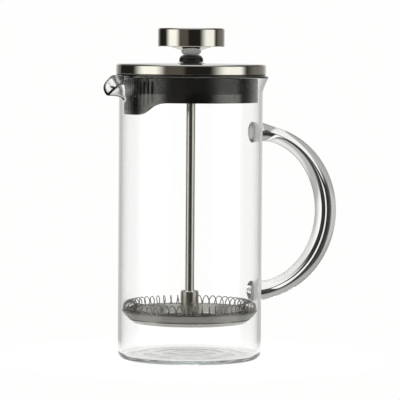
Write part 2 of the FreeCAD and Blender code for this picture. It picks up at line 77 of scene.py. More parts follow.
class PressGlass(bpy.types.PropertyGroup):
    """The beaker and its handle."""

    radius: length("Beaker radius", "Outside radius of the straight wall", 0.036)
    wall: length("Wall", "Thickness of the blown wall", 0.0016)
    floor: length("Floor", "Thickness of the base at its edge", 0.0022)
    dome: length("Floor dome", "How far the floor rises at its middle", 0.0007)
    heel: length("Heel radius", "Outside radius of the rounded heel", 0.003)
    mouth_start: length("Mouth start", "Height where the plain straight wall ends", 0.116)
    flare_start: length("Flare start", "Height where the wall starts to lean out", 0.1326)
    rim_radius: length("Rim radius", "Radius of the middle of the rim's bead", 0.038)
    rim_height: length("Rim height", "Height of the middle of the rim's bead", 0.1412)
    spout_start: length("Spout start", "Height where the wall bends under the spout", 0.1286)
    spout_reach: length("Spout reach", "How far the spout stands out past the rim", 0.0067)
    spout_dip: length("Spout dip", "How far the spout's lip hangs below the rim", 0.0084)
    handle_top: length("Upper weld", "Height of the handle's upper weld", 0.1133)
    handle_bottom: length("Lower weld", "Height of the handle's lower weld", 0.0326)
    handle_reach: length("Handle reach", "How far the grip's middle stands out from the wall", 0.0398)
    grip: length("Grip radius", "Radius of the glass rod at the middle of the grip", 0.00545)
    grip_top: length("Upper end radius", "Radius of the drawn rod near the upper weld", 0.0037)
    grip_bottom: length("Lower end radius", "Radius of the drawn rod near the lower weld", 0.0045)
    weld: length("Weld radius", "Radius of the fused spot on the wall", 0.0053)
    tint: colour("Tint", "Colour that thick glass takes on", (0.9, 0.93, 0.92))
    depth: number("Tint density", "How quickly thick glass takes on its tint, per metre", 26.0)


class PressLid(bpy.types.PropertyGroup):
    """The lid's steel cap, its liner and its bush."""

    cap_radius: length("Cap radius", "Radius of the steel cap", 0.0376)
    cap_bottom: length("Cap bottom", "Height of the cap's lower edge", 0.1428)
    cap_top: length("Cap top", "Height of the cap's top at its edge", 0.1477)
    cap_edge: length("Cap edge", "Rounding of the cap's top edge", 0.001)
    boss_radius: length("Boss radius", "Radius of the raised seat at the cap's middle", 0.0066)
    boss_top: length("Boss top", "Height of the raised seat", 0.1484)
    bore: length("Bore", "Radius of the hole for the bush", 0.00407)
    plastic: colour("Liner colour", "Colour of the liner and the bush", (0.006, 0.006, 0.006))


class PressPlunger(bpy.types.PropertyGroup):
    """The rod, the knob and the filter."""

    rod: length("Rod radius", "Radius of the plunger rod", 0.00225)
    knob_radius: length("Knob radius", "Radius of the knob", 0.0167)
    knob_bottom: length("Knob bottom", "Height of the knob's lower edge", 0.1565)
    knob_top: length("Knob top", "Height of the knob's top", 0.1657)
    knob_edge: length("Knob edge", "Rounding of the knob's edges", 0.0009)
    coil_ring: length("Coil ring radius", "Radius of the ring the spring is bent into", 0.0305)
    coil_height: length("Coil height", "Height of the spring's middle", 0.026)
    coil_radius: length("Coil radius", "Radius of the coil's turns, to the middle of the wire", 0.0028)
    wire: length("Wire radius", "Radius of the spring's wire", 0.00027)
    turns: bpy.props.IntProperty(name="Turns", description="Turns of the spring round its ring", default=52)
    screen_height: length("Screen height", "Height of the woven screen's flat part", 0.0202)
    weave: length("Weave pitch", "Distance between the screen's wires", 0.00042)
    collar: colour("Collar colour", "Colour of the collar under the knob", (0.72, 0.72, 0.71))
    steel: colour("Steel colour", "Colour of the polished steel", (0.81, 0.8, 0.765))


# ---------------------------------------------------------------- surfaces


def add_piece(name, points, faces, material, smooth_angle=35.0):
    """Puts the points (n, 3) and faces into a new object at the origin, smooth except at sharp bends."""
    mesh = bpy.data.meshes.new(name)
    mesh.from_pydata(points.tolist(), [], faces)
    mesh.validate()
    mesh.polygons.foreach_set("use_smooth", np.ones(len(mesh.polygons), dtype=bool))
    mesh.set_sharp_from_angle(angle=math.radians(smooth_angle))
    mesh.materials.append(material)
    mesh.update()
    piece = bpy.data.objects.new(name, mesh)
    bpy.context.scene.collection.objects.link(piece)
    return piece


def quads(rows, columns, wrap_rows, wrap_columns):
    """The quads of a grid of rows by columns points. Row i's point j meets row i + 1's point j + 1."""
    i = np.arange(rows if wrap_rows else rows - 1)
    j = np.arange(columns if wrap_columns else columns - 1)
    i, j = np.meshgrid(i, j, indexing="ij")
    after, beside = (i + 1) % rows, (j + 1) % columns
    corners = [i * columns + j, i * columns + beside, after * columns + beside, after * columns + j]
    return np.stack([c.ravel() for c in corners], axis=1).tolist()


def fan(pole, first, columns, backwards=False):
    """The triangles between a pole and the row of points that starts at the point first."""
    around = first + np.arange(columns)
    beside = first + (np.arange(columns) + 1) % columns
    if backwards:
        around, beside = beside, around
    return np.stack([np.full(columns, pole), around, beside], axis=1).tolist()


def turned_rows(profile, segments):
    """A profile of (radius, height) rows turned about the Z axis: the point at angle a is
    (r cos a, r sin a, z)."""
    angle = np.arange(segments) * TAU / segments
    ring = np.stack([np.cos(angle), np.sin(angle)], axis=1)
    height = np.broadcast_to(profile[:, 1, None, None], (len(profile), segments, 1))
    return np.concatenate([profile[:, 0, None, None] * ring, height], axis=2)


def lathe(name, profile, material, segments=128):
    """A piece turned from a profile. A row on the axis becomes one point, so poles are closed. The profile
    runs with its solid on the left."""
    on_axis = profile[:, 0] < 1e-9
    inner = profile[~on_axis]
    points = turned_rows(inner, segments).reshape(-1, 3)
    faces = quads(len(inner), segments, not on_axis.any(), True)
    if on_axis[0]:
        faces += fan(len(points), 0, segments, True)
        points = np.vstack([points, [0, 0, profile[0, 1]]])
    if on_axis[-1]:
        faces += fan(len(points), (len(inner) - 1) * segments, segments)
        points = np.vstack([points, [0, 0, profile[-1, 1]]])
    return add_piece(name, points, faces, material)


def closed_skin(name, rows, first, last, material):
    """A piece from rows of points round it, closed by the points first and last as its poles."""
    count, columns = rows.shape[:2]
    points = np.vstack([rows.reshape(-1, 3), first, last])
    faces = np.array(quads(count, columns, False, True))[:, ::-1].tolist()
    faces += fan(count * columns, 0, columns)
    faces += fan(count * columns + 1, (count - 1) * columns, columns, True)
    return add_piece(name, points, faces, material, 60)


def hoops(out, side, columns):
    """Circles of radius one, one for each pair of unit vectors out and side."""
    spin = (np.arange(columns) * TAU / columns)[None, :, None]
    return out[:, None] * np.cos(spin) + side[:, None] * np.sin(spin)


def unit(vectors):
    """The vectors scaled to length one."""
    return vectors / np.linalg.norm(vectors, axis=-1, keepdims=True)


def soften(corners, steps=6):
    """A profile with rounded corners from (radius, height, rounding) rows. Each corner becomes an arc that is
    tangent to both of its sides, with a point just before and after it to keep the flats flat."""
    corners = [np.array(c, dtype=float) for c in corners]
    points = []
    for k, corner in enumerate(corners):
        here, rounding = corner[:2], corner[2]
        before, after = corners[k - 1][:2], corners[(k + 1) % len(corners)][:2]
        if rounding <= 0 or here[0] < 1e-9:
            points.append(here[None])
            continue
        to_before, to_after = before - here, after - here
        reach_before, reach_after = np.linalg.norm(to_before), np.linalg.norm(to_after)
        to_before, to_after = to_before / reach_before, to_after / reach_after
        half = math.acos(np.clip(to_before @ to_after, -1, 1)) / 2
        setback = rounding / math.tan(half)
        middle = here + unit(to_before + to_after) * rounding / math.sin(half)
        start, end = here + to_before * setback - middle, here + to_after * setback - middle
        share = np.linspace(0, 1, steps + 1)[:, None]
        sweep = math.pi - 2 * half
        arc = (np.sin((1 - share) * sweep) * start + np.sin(share * sweep) * end) / math.sin(sweep) + middle
        guard = min(0.35 * rounding, 0.25 * (reach_before - setback), 0.25 * (reach_after - setback))
        if guard > 1e-7:
            arc = np.vstack([arc[:1] + to_before * guard, arc, arc[-1:] + to_after * guard])
        points.append(arc)
    return np.vstack(points)


# ---------------------------------------------------------------- materials


def new_material(name):
    """A new material, with its node tree and its Principled shader."""
    material = bpy.data.materials.new(name)
    material.use_nodes = True
    tree = material.node_tree
    shader = next(n for n in tree.nodes if n.type == "BSDF_PRINCIPLED")
    return material, tree, shader


def add_node(tree, kind, **values):
    """Adds a node and sets its attributes."""
    node = tree.nodes.new(kind)
    for name, value in values.items():
        setattr(node, name, value)
    return node


def feed(tree, socket, value):
    """Gives a socket a number or a colour, or links it to another node's output."""
    if isinstance(value, (int, float)):
        socket.default_value = value
    elif isinstance(value, tuple):
        socket.default_value = (*value, 1)
    else:
        tree.links.new(value, socket)


def maths(tree, operation, *values):
    """A sum on the values, each a number or another node's output."""
    node = add_node(tree, "ShaderNodeMath", operation=operation)
    for socket, value in zip(node.inputs, values):
        feed(tree, socket, value)
    return node.outputs["Value"]


def noise(tree, vector, scale, detail=3.0, stretch=(1, 1, 1)):
    """A noise pattern on the vector, drawn out by the stretch factors."""
    mapping = add_node(tree, "ShaderNodeMapping")
    mapping.inputs["Scale"].default_value = stretch
    tree.links.new(vector, mapping.inputs["Vector"])
    node = add_node(tree, "ShaderNodeTexNoise")
    node.inputs["Scale"].default_value = scale
    node.inputs["Detail"].default_value = detail
    tree.links.new(mapping.outputs["Vector"], node.inputs["Vector"])
    return node.outputs["Fac"]


def spread(tree, value, low, high, low_in=0.3, high_in=0.7, kind="LINEAR"):
    """Maps the pattern's values from low_in..high_in to low..high."""
    node = add_node(tree, "ShaderNodeMapRange", interpolation_type=kind)
    for name, limit in (("From Min", low_in), ("From Max", high_in), ("To Min", low), ("To Max", high)):
        node.inputs[name].default_value = limit
    tree.links.new(value, node.inputs["Value"])
    return node.outputs["Result"]


def shade(tree, shader, base, pattern):
    """Gives the shader the base colour, darkened by the pattern."""
    node = add_node(tree, "ShaderNodeMixRGB", blend_type="MULTIPLY")
    node.inputs["Fac"].default_value = 1.0
    node.inputs["Color1"].default_value = (*base, 1)
    tree.links.new(pattern, node.inputs["Color2"])
    tree.links.new(node.outputs["Color"], shader.inputs["Base Color"])


def dent(tree, shader, height, strength, distance):
    """Gives the shader a bump from the height pattern."""
    bump = add_node(tree, "ShaderNodeBump")
    bump.inputs["Strength"].default_value = strength
    bump.inputs["Distance"].default_value = distance
    tree.links.new(height, bump.inputs["Height"])
    tree.links.new(bump.outputs["Normal"], shader.inputs["Normal"])


def object_place(tree):
    """The point's place on the object, in metres."""
    return add_node(tree, "ShaderNodeTexCoord").outputs["Object"]


def glass_material(name, tint, density):
    """Clear blown glass: long soft waves from the blowing, and a tint that only thick glass shows."""
    material, tree, shader = new_material(name)
    shader.inputs["Base Color"].default_value = (1, 1, 1, 1)
    shader.inputs["Roughness"].default_value = 0.0
    shader.inputs["IOR"].default_value = 1.473
    shader.inputs["Transmission Weight"].default_value = 1.0
    waves = noise(tree, object_place(tree), 45.0, 1.0, (1, 1, 0.35))
    dent(tree, shader, waves, 0.06, 0.0004)
    volume = add_node(tree, "ShaderNodeVolumeAbsorption")
    volume.inputs["Color"].default_value = (*tint, 1)
    volume.inputs["Density"].default_value = density
    output = next(n for n in tree.nodes if n.type == "OUTPUT_MATERIAL")
    tree.links.new(volume.outputs["Volume"], output.inputs["Volume"])
    return material


def steel_material(name, base, roughness, wear, stretch=(1, 1, 1), grain=600.0, dents=0.02):
    """Steel whose gloss varies a little with handling, over a fine polishing grain drawn out one way."""
    material, tree, shader = new_material(name)
    shader.inputs["Metallic"].default_value = 1.0
    place = object_place(tree)
    cloud = noise(tree, place, 70.0, 4.0)
    lines = noise(tree, place, grain, 2.0, stretch)
    shade(tree, shader, base, spread(tree, cloud, 0.955, 1.0))
    worn = maths(tree, "MULTIPLY_ADD", lines, wear, spread(tree, cloud, roughness, roughness + wear))
    tree.links.new(worn, shader.inputs["Roughness"])
    dent(tree, shader, lines, dents, 0.00002)
    return material


def plastic_material(name, base, roughness, grain=1500.0, depth=0.25, gloss=0.5):
    """Moulded plastic with a fine spark-eroded grain and slightly uneven gloss."""
    material, tree, shader = new_material(name)
    place = object_place(tree)
    cloud = noise(tree, place, 60.0, 3.0)
    shade(tree, shader, base, spread(tree, cloud, 0.85, 1.1))
    tree.links.new(spread(tree, cloud, roughness - 0.04, roughness + 0.06), shader.inputs["Roughness"])
    shader.inputs["IOR"].default_value = 1.49
    shader.inputs["Specular IOR Level"].default_value = gloss
    dent(tree, shader, noise(tree, place, grain, 2.0), depth, 0.00003)
    return material


def brass_material():
    """Machined brass, a little dulled."""
    return steel_material("machined_brass", (0.78, 0.58, 0.28), 0.22, 0.1, (1, 1, 8))


def woven_material(name, base, pitch):
    """Fine plain-woven wire on the piece's own flat pattern: two sets of wires, one sine each, that pass over
    and under by turns. It is open between the wires."""
    material, tree, shader = new_material(name)
    shader.inputs["Metallic"].default_value = 1.0
    shader.inputs["Roughness"].default_value = 0.28
    flat = add_node(tree, "ShaderNodeUVMap", uv_map="flat").outputs["UV"]
    parts = add_node(tree, "ShaderNodeSeparateXYZ")
    tree.links.new(flat, parts.inputs["Vector"])

    def wires(across, along):
        # Each wire's height is |cos| across it, and it rises and falls along its length.
        over = maths(tree, "COSINE", maths(tree, "MULTIPLY", across, math.pi / pitch))
        wave = maths(tree, "COSINE", maths(tree, "MULTIPLY", along, math.pi / pitch))
        return maths(tree, "ABSOLUTE", over), maths(tree, "MULTIPLY", over, wave)

    thick_a, dip_a = wires(parts.outputs["X"], parts.outputs["Y"])
    thick_b, dip_b = wires(parts.outputs["Y"], parts.outputs["X"])
    high_a = maths(tree, "MULTIPLY_ADD", dip_a, 0.35, thick_a)
    high_b = maths(tree, "MULTIPLY_ADD", dip_b, -0.35, thick_b)
    height = maths(tree, "MAXIMUM", high_a, high_b)
    solid = maths(tree, "GREATER_THAN", maths(tree, "MAXIMUM", thick_a, thick_b), 0.62)
    # The base colour darkens to 0.35 of itself where a wire lies low and passes under the other: painted
    # shade in the weave's crossings.
    shade(tree, shader, base, spread(tree, height, 0.35, 1.0, 0.5, 1.25))
    tree.links.new(solid, shader.inputs["Alpha"])
    dent(tree, shader, height, 0.8, 0.00006)
    return material


# ---------------------------------------------------------------- glass


def mouth_middle(sizes, angle, share):
    """The middle of the wall from the straight part up to the lip, for arrays of angle from the spout
    (columns) and share from 0 to 1 (rows). Each column is a cubic Bezier curve that leaves the wall upwards
    and ends at the lip. The lip stands out and hangs down near the spout by bell curves of the angle, and the
    curve's end turns from leaning out gently to running level there."""
    swell = np.exp(-((angle / math.radians(15)) ** 2))
    pull = np.exp(-(np.abs(angle / math.radians(19)) ** 3.5))
    rounding = math.radians(2.5)
    slope = 1 - (np.hypot(angle, rounding) - rounding) / math.radians(19)
    drop = (slope + np.hypot(slope, 0.07)) / 2
    foot_height = sizes.flare_start + (sizes.spout_start - sizes.flare_start) * swell
    foot = np.stack([np.full_like(angle, sizes.radius - sizes.wall / 2), foot_height], axis=1)
    lip_radius = sizes.rim_radius + sizes.spout_reach * pull
    lip = np.stack([lip_radius, sizes.rim_height - sizes.spout_dip * drop], axis=1)
    span = np.linalg.norm(lip - foot, axis=1)
    lean = np.radians(66 * (1 - swell))
    rise = np.stack([np.zeros_like(span), 0.34 * span], axis=1)
    run = np.stack([np.cos(lean), np.sin(lean)], axis=1) * ((0.35 + 0.14 * swell) * span)[:, None]
    s = share[:, None, None]
    upper = 3 * (1 - s) * s**2 * (lip - run) + s**3 * lip
    return (1 - s) ** 3 * foot + 3 * (1 - s) ** 2 * s * (foot + rise) + upper


def beaker_points(sizes, columns):
    """The beaker's closed skin as rows of points. The wall's middle surface is moved half a wall's thickness
    both ways square to itself, the lip is a half circle about its middle, and the heel and floor are turned
    arcs. The order is up the outside, over the lip and down the inside."""
    angle = np.arange(columns) * TAU / columns
    beta = (angle + math.pi) % TAU - math.pi
    outwards = np.stack([-np.cos(beta), np.sin(beta), np.zeros(columns)], axis=1)
    half = sizes.wall / 2
    curve = mouth_middle(sizes, beta, np.linspace(0, 1, 34))
    low = sizes.mouth_start
    climb = np.linspace(0, 1, 9)[:-1, None]
    height = low + (curve[0, :, 1] - low) * climb
    straight = np.stack([np.broadcast_to(curve[0, :, 0], height.shape), height], axis=2)
    profile = np.concatenate([straight, curve])
    middle = profile[..., :1] * outwards + profile[..., 1:] * np.array([0, 0, 1.0])
    upwards = np.gradient(middle, axis=0)
    around = np.roll(middle, -1, axis=1) - np.roll(middle, 1, axis=1)
    away = unit(np.cross(upwards, around))
    if (away[0] * outwards).sum() < 0:
        away = -away
    outside, inside = middle + away * half, middle - away * half
    along = unit(middle[-1] - middle[-2])
    turn = np.linspace(0, math.pi, 13)[1:-1, None, None]
    crown = middle[-1] + (away[-1] * np.cos(turn) + along * np.sin(turn)) * half
    inner, bend = sizes.radius - sizes.wall, sizes.heel - sizes.wall
    quarter = np.linspace(0, math.pi / 2, 14)
    flat = sizes.radius - sizes.heel
    heel = np.stack([flat + sizes.heel * np.sin(quarter), sizes.heel * (1 - np.cos(quarter))], axis=1)
    bottom = np.stack([np.linspace(0.15, 1, 9)[:-1] * flat, np.zeros(8)], axis=1)
    wall_out = np.stack([np.full(14, sizes.radius), np.linspace(sizes.heel, low, 16)[1:-1]], axis=1)
    wall_in = np.stack([np.full(14, inner), np.linspace(low, sizes.floor + bend, 16)[1:-1]], axis=1)
    toe_height = sizes.floor + bend * (1 - np.sin(quarter))
    toe = np.stack([inner - bend * (1 - np.cos(quarter)), toe_height], axis=1)
    reach = np.linspace(1, 0.04, 60)[1:]
    ripple = 0.00012 * np.cos(3.5 * TAU * reach) * np.sin(math.pi * reach)
    rise = sizes.dome * (0.5 + 0.5 * np.cos(math.pi * reach)) + ripple
    dish = np.stack([(inner - bend) * reach, sizes.floor + rise], axis=1)

    def turned(rows):
        return rows[:, None, :1] * outwards + rows[:, None, 1:] * np.array([0, 0, 1.0])

    return np.concatenate(
        [
            turned(np.concatenate([bottom, heel, wall_out])),
            outside,
            crown,
            inside[::-1],
            turned(np.concatenate([wall_in, toe, dish])),
        ]
    )


def build_beaker(sizes, material):
    """The beaker as one closed skin, with a pole at the middle of each side of its floor."""
    crest = [0, 0, sizes.floor + sizes.dome]
    return closed_skin("glass_beaker", beaker_points(sizes, 256), [0, 0, 0], crest, material)


def build_handle(sizes, material):
    """The glass rod: round sections along half an ellipse in the XZ plane. The radius goes as the square of
    the sine from the drawn ends to the grip, and bell curves widen it into the two welds, which follow the
    beaker's round wall. Each weld ends in a flat disc of a few rings."""
    turn = np.linspace(0, math.pi, 121)
    middle = (sizes.handle_top + sizes.handle_bottom) / 2
    half_height = (sizes.handle_top - sizes.handle_bottom) / 2
    gap = 0.00003
    stand_off = sizes.radius + gap + (sizes.handle_reach - gap) * np.sin(turn)
    path = np.stack([stand_off, np.zeros_like(turn), middle + half_height * np.cos(turn)], axis=1)
    along = unit(np.gradient(path, axis=0))
    along[[0, -1]] = [[1, 0, 0], [-1, 0, 0]]
    side = np.broadcast_to([0.0, 1.0, 0.0], along.shape)
    ring = hoops(np.cross(along, side), side, 48)
    end = np.where(turn < math.pi / 2, sizes.grip_top, sizes.grip_bottom)
    bell = np.exp(-((np.minimum(turn, math.pi - turn) / math.radians(9.75)) ** 2))
    radius = end + (sizes.grip - end) * np.sin(turn) ** 2 + (sizes.weld - end) * bell
    shrink = np.linspace(0.15, 1, 6)[:-1, None, None]
    first = path[0] + ring[0] * radius[0] * shrink
    last = path[-1] + ring[-1] * radius[-1] * shrink[::-1]
    rows = np.concatenate([first, path[:, None] + ring * radius[:, None, None], last])
    disc = np.ones(len(shrink))
    hug = sizes.radius - np.sqrt(sizes.radius**2 - rows[..., 1] ** 2)
    rows[..., 0] -= hug * np.concatenate([disc, bell, disc])[:, None]
    return closed_skin("glass_handle", rows, path[0], path[-1], material)


# ---------------------------------------------------------------- filter


def build_spring(sizes, material):
    """The coil spring. Its wire's middle winds round a ring: at lead angle a and wind angle n a the middle is
    (R + c cos na) out along a and c sin na up, and the skin is a circle square to that path."""
    steps, columns = sizes.turns * 22, 8
    lead = np.arange(steps) * TAU / steps
    wind = lead * sizes.turns

    def path(a):
        out = sizes.coil_ring + sizes.coil_radius * np.cos(a * sizes.turns)
        height = sizes.coil_height + sizes.coil_radius * np.sin(a * sizes.turns)
        return np.stack([out * np.cos(a), out * np.sin(a), height], axis=1)

    along = unit(path(lead + 1e-4) - path(lead - 1e-4))
    away = np.stack([np.cos(wind) * np.cos(lead), np.cos(wind) * np.sin(lead), np.sin(wind)], axis=1)
    away = unit(away - along * (away * along).sum(axis=1, keepdims=True))
    ring = hoops(away, np.cross(along, away), columns)
    points = (path(lead)[:, None] + ring * sizes.wire).reshape(-1, 3)
    return add_piece("coil_spring", points, quads(steps, columns, True, True), material, 80)


def build_screen(sizes, material):
    """The woven screen: a flat disc whose edge turns up along a quadratic Bezier curve. Its UV is the wire
    cloth before forming, so a point's distance along the profile is its distance from the cloth's middle."""
    hole, fold, rim, rim_rise = 0.0021, 0.0298, 0.03405, 0.0044
    flat = np.stack([np.linspace(hole, fold, 24), np.zeros(24)], axis=1)
    bend = np.linspace(0, 1, 9)[1:, None]
    pulled = np.array([0.0312, 0.0])
    edge = np.array([fold, 0.0]) * (1 - bend) ** 2 + 2 * bend * (1 - bend) * pulled
    profile = np.vstack([flat, edge + bend**2 * np.array([rim, rim_rise])]) + [0, sizes.screen_height]
    steps = np.linalg.norm(np.diff(profile, axis=0), axis=1)
    distance = np.concatenate([[0], np.cumsum(steps)]) + hole
    columns = 192
    points = turned_rows(profile, columns).reshape(-1, 3)
    cloth = turned_rows(np.stack([distance, distance], axis=1), columns)[..., :2].reshape(-1, 2)
    piece = add_piece("woven_screen", points, quads(len(profile), columns, False, True), material, 80)
    layer = piece.data.uv_layers.new(name="flat")
    corner = np.empty(len(piece.data.loops), dtype=np.int32)
    piece.data.loops.foreach_get("vertex_index", corner)
    layer.data.foreach_set("uv", cloth[corner].ravel())
    thick = piece.modifiers.new("wire thickness", "SOLIDIFY")
    thick.thickness = 0.00018
    thick.offset = 0
    return piece


# ---------------------------------------------------------------- operators


def press(context):
    """The three groups of sizes."""
    scene = context.scene
    return scene.press_glass, scene.press_lid, scene.press_plunger


def dress(node, material):
    """Gives a carried-over CAD node a finish."""
    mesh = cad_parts[node].data
    mesh.materials.clear()
    mesh.materials.append(material)


class PRESS_OT_glass(bpy.types.Operator):
    """Blow the beaker and set its handle against its wall"""

    bl_idname = "press.glass"
    bl_label = "Beaker and Handle"

    def execute(self, context):
        sizes = press(context)[0]
        material = glass_material("blown_glass", sizes.tint, sizes.depth)
        beaker = build_beaker(sizes, material)
        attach(beaker, "beaker")
        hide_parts("beaker")
        handle = build_handle(sizes, material)
        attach(handle, "beaker")
        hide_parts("handle")
        return {"FINISHED"}


class PRESS_OT_lid(bpy.types.Operator):
    """Make the lid's steel cap and finish its liner"""

    bl_idname = "press.lid"
    bl_label = "Lid"

    def execute(self, context):
        sizes, plunger = press(context)[1:]
        mirror = steel_material("mirror_steel_cap", plunger.steel, 0.035, 0.02, (1, 1, 0.05), 900.0)
        sheet = 0.0006
        seat_foot = sizes.cap_top + 0.0003
        cap = lathe(
            "steel_cap",
            soften(
                [
                    (sizes.bore, sizes.boss_top - sheet, 0.0001),
                    (sizes.boss_radius - 0.0002, sizes.boss_top - sheet, 0.0003),
                    (sizes.boss_radius + 0.0008, seat_foot - sheet, 0.0003),
                    (sizes.cap_radius - sheet, sizes.cap_top - sheet, 0.0005),
                    (sizes.cap_radius - sheet, sizes.cap_bottom, 0.0002),
                    (sizes.cap_radius, sizes.cap_bottom, 0.0002),
                    (sizes.cap_radius, sizes.cap_top, sizes.cap_edge),
                    (sizes.boss_radius + 0.001, seat_foot, 0.0004),
                    (sizes.boss_radius, sizes.boss_top, 0.0004),
                    (sizes.bore, sizes.boss_top, 0.0001),
                ]
            ),
            mirror,
            192,
        )
        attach(cap, "lid")
        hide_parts("lid_cap")
        dress("lid_liner", plastic_material("liner_plastic", sizes.plastic, 0.24, depth=0.1, gloss=1.0))
        return {"FINISHED"}


class PRESS_OT_bush(bpy.types.Operator):
    """Make the guide bush and finish its retaining ring"""

    bl_idname = "press.bush"
    bl_label = "Bush"

    def execute(self, context):
        sizes = press(context)[1]
        widest, belly_round = 0.1494, 0.0009
        turn = np.linspace(-math.pi / 2, 0, 9)
        belly = np.stack([0.00515 + belly_round * np.cos(turn), widest + belly_round * np.sin(turn)], axis=1)
        lean = np.linspace(0, math.pi / 2, 14)[1:]
        crown = np.stack([0.0033 + 0.00275 * np.cos(lean) ** 0.9, widest + 0.0029 * np.sin(lean)], axis=1)
        crown[-1, 0] = 0.0032
        hole, stem, groove, foot = 0.00231, 0.004, 0.0034, 0.1346
        lower = soften(
            [
                (hole, 0.1523, 0),
                (hole, foot, 0),
                (0.0036, foot, 0.0001),
                (stem, foot + 0.0004, 0.0001),
                (stem, foot + 0.001, 0),
                (groove, foot + 0.001, 0),
                (groove, foot + 0.0018, 0),
                (stem, foot + 0.0018, 0),
                (stem, widest - belly_round, 0),
            ]
        )
        black = plastic_material("bush_plastic", sizes.plastic, 0.3)
        bush = lathe("guide_bush_ring", np.vstack([lower, belly, crown]), black, 96)
        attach(bush, "bush")
        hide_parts("guide_bush")
        dress("bush_retaining_ring", steel_material("spring_ring_steel", (0.62, 0.62, 0.63), 0.2, 0.08))
        return {"FINISHED"}


class PRESS_OT_knob(bpy.types.Operator):
    """Make the knob's cup, its base plate and collar, and finish the pieces inside"""

    bl_idname = "press.knob"
    bl_label = "Knob"

    def execute(self, context):
        sizes = press(context)[2]
        mirror = steel_material("mirror_steel_knob", sizes.steel, 0.03, 0.02, (1, 1, 0.05), 900.0)
        sheet = 0.0008
        inside = sizes.knob_radius - sheet
        low, top = sizes.knob_bottom, sizes.knob_top
        neck, cone_foot, collar_foot = 0.005, sizes.knob_bottom - 0.0018, sizes.knob_bottom - 0.0041
        cup = lathe(
            "knob_cup",
            soften(
                [
                    (0, top - sheet, 0),
                    (inside, top - sheet, 0.0002),
                    (inside, low, 0.0002),
                    (sizes.knob_radius, low, 0.0003),
                    (sizes.knob_radius, top, sizes.knob_edge),
                    (0, top, 0),
                ]
            ),
            mirror,
            160,
        )
        cone = lathe(
            "knob_cone",
            soften(
                [
                    (sizes.rod, cone_foot, 0),
                    (neck, cone_foot, 0.0003),
                    (0.0105, low, 0.002),
                    (inside, low, 0.0002),
                    (inside, low + sheet, 0),
                    (0.0102, low + sheet, 0),
                    (neck, cone_foot + sheet, 0),
                    (sizes.rod, cone_foot + sheet, 0),
                ]
            ),
            mirror,
            128,
        )
        collar = lathe(
            "grey_collar",
            soften(
                [
                    (sizes.rod, collar_foot, 0),
                    (0.00385, collar_foot, 0.0006),
                    (neck, collar_foot + 0.0012, 0.0014),
                    (neck, cone_foot, 0.0001),
                    (sizes.rod, cone_foot, 0),
                ]
            ),
            plastic_material("collar_plastic", sizes.collar, 0.42),
            96,
        )
        for piece, node, slot in (
            (cup, "knob_shell", "mirror_steel"),
            (cone, "knob_base_plate", "mirror_steel"),
            (collar, "knob_collar", "grey_plastic"),
        ):
            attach(piece, "plunger")
            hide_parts(node)
        dress("knob_core", plastic_material("core_plastic", (0.03, 0.03, 0.035), 0.5))
        dress("knob_insert", brass_material())
        return {"FINISHED"}


class PRESS_OT_rod(bpy.types.Operator):
    """Make the plunger rod and the hub on its foot"""

    bl_idname = "press.rod"
    bl_label = "Rod and Hub"

    def execute(self, context):
        sizes = press(context)[2]
        drawn = steel_material("drawn_steel", (0.72, 0.71, 0.68), 0.1, 0.08, (1, 1, 0.03), 2500.0)
        turned = steel_material("turned_steel", (0.6, 0.585, 0.54), 0.12, 0.08, (0.05, 0.05, 1), 2500.0)
        foot, shoulder, neck, stud, stud_top = 0.018, 0.0236, 0.002, 0.1574, 0.1626
        sleeve, sleeve_foot, sleeve_top = 0.00455, 0.0218, 0.0342
        rod = lathe(
            "steel_rod",
            soften(
                [
                    (0, foot, 0),
                    (neck, foot, 0.0003),
                    (neck, shoulder, 0),
                    (sizes.rod, shoulder, 0),
                    (sizes.rod, stud, 0),
                    (neck, stud, 0),
                    (neck, stud_top, 0.0003),
                    (0, stud_top, 0),
                ]
            ),
            drawn,
            64,
        )
        hub = lathe(
            "filter_hub_sleeve",
            soften(
                [
                    (neck, sleeve_foot, 0),
                    (sleeve, sleeve_foot, 0.0002),
                    (sleeve, sleeve_top, 0.001),
                    (sizes.rod, sleeve_top, 0.0001),
                    (sizes.rod, shoulder, 0),
                    (neck, shoulder, 0),
                ]
            ),
            turned,
            96,
        )
        for piece, node in ((rod, "plunger_rod"), (hub, "filter_hub")):
            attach(piece, "plunger")
            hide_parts(node)
        dress("hub_washer", turned)
        return {"FINISHED"}


class PRESS_OT_filter(bpy.types.Operator):
    """Wind the spring, form the screen and finish the plates"""

    bl_idname = "press.filter"
    bl_label = "Filter"

    def execute(self, context):
        sizes = press(context)[2]
        spring = build_spring(sizes, steel_material("spring_wire", (0.4, 0.385, 0.35), 0.16, 0.08))
        screen = build_screen(sizes, woven_material("woven_wire", (0.44, 0.43, 0.395), sizes.weave))
        for piece, node, slot in (
            (spring, "filter_spring", "spring_steel"),
            (screen, "filter_mesh", "mesh_steel"),
        ):
            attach(piece, "plunger")
            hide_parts(node)
        pressed = steel_material("pressed_steel", (0.6, 0.59, 0.56), 0.3, 0.1, (1, 1, 0.2), 900.0)
        dress("spiral_plate", pressed)
        dress("cross_plate", steel_material("plate_steel", (0.55, 0.54, 0.5), 0.2, 0.1))
        dress("cross_plate_nut", pressed)
        return {"FINISHED"}


# ---------------------------------------------------------------- studio

# What hangs on the room's walls: first and last edge in degrees, how softly each of them fades, and the
# light's colour. Measured from the camera's own side, positive to its right.
PANELS = {
    "grey wall behind at the left": (-200, -137, 5, 2, (0.13, 0.125, 0.115)),
    "left soft box": (-88, -46, 13, 12, (0.82, 0.81, 0.745)),
    "dim window over the camera's shoulder": (-40, -10, 6, 5, (0.07, 0.062, 0.05)),
    "right soft box": (43, 88, 15, 8, (0.77, 0.76, 0.7)),
    "grey wall at the right": (103, 200, 14, 5, (0.12, 0.115, 0.1)),
    "lighter far end of the grey wall": (135, 200, 18, 5, (0.2, 0.195, 0.18)),
}
